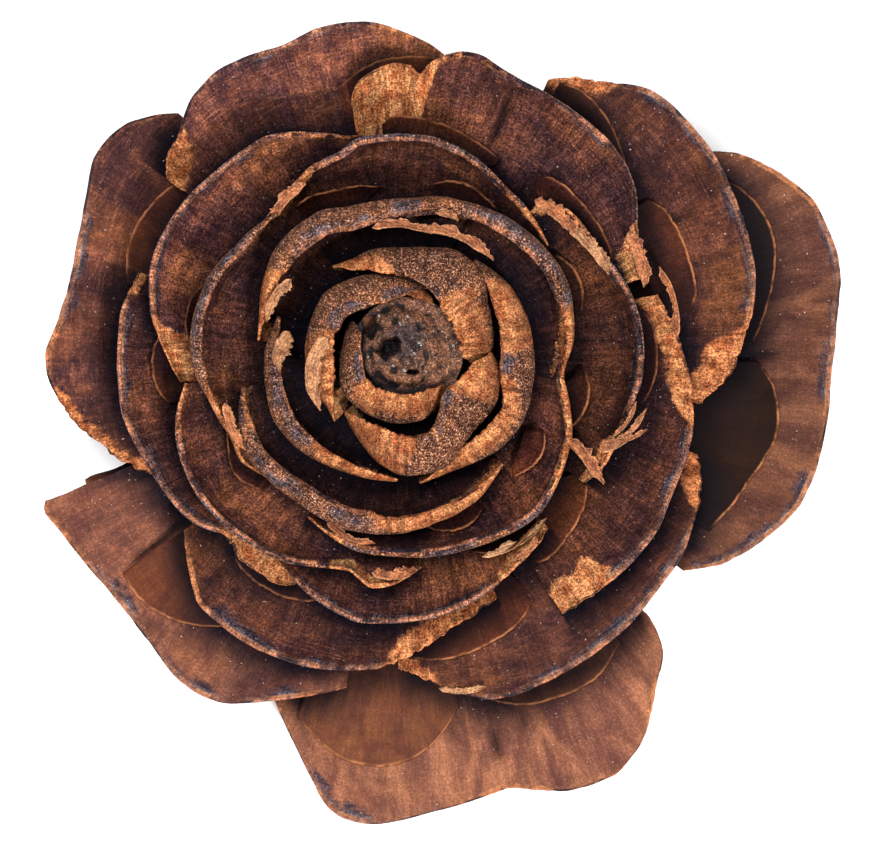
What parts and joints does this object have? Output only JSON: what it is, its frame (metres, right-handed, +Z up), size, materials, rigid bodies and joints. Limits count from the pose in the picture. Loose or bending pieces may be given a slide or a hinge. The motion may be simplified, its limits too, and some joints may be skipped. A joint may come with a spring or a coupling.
{
  "type": "pine cone",
  "caption": "Rose-like shed top of a cedar cone: a short woody axis with a spiral of thin fan-shaped seed scales round a closed bud, and papery seed wings on them.",
  "frame": {"origin": "centre of the flat broken foot of the woody axis, on the ground", "axes": "+Z up along the axis to the bud; +X and +Y are the picture's right and up, seen from above"},
  "size_m": [0.0902, 0.0903, 0.0376],
  "materials": {
    "scale_wood": "dry, fibrous and matt",
    "wing_paper": "papery, thin, with a slight sheen"
  },
  "bodies": {
    "root": {"cone": "scale_wood", "seed_wing_00_clockwise": "wing_paper", "seed_wing_00_counter": "wing_paper", "seed_wing_02_clockwise": "wing_paper", "seed_wing_02_counter": "wing_paper", "seed_wing_03_counter": "wing_paper", "seed_wing_05_clockwise": "wing_paper", "seed_wing_06_clockwise": "wing_paper", "seed_wing_07_clockwise": "wing_paper", "seed_wing_07_counter": "wing_paper", "seed_wing_08_clockwise": "wing_paper", "seed_wing_09_clockwise": "wing_paper", "seed_wing_10_clockwise": "wing_paper", "seed_wing_10_counter": "wing_paper", "seed_wing_11_clockwise": "wing_paper", "seed_wing_12_clockwise": "wing_paper", "seed_wing_12_counter": "wing_paper", "seed_wing_13_counter": "wing_paper", "seed_wing_14_counter": "wing_paper", "seed_wing_15_clockwise": "wing_paper", "seed_wing_15_counter": "wing_paper", "seed_wing_16_clockwise": "wing_paper", "seed_wing_17_clockwise": "wing_paper", "seed_wing_17_counter": "wing_paper", "seed_wing_18_clockwise": "wing_paper", "seed_wing_18_counter": "wing_paper"}
  },
  "joints": []
}
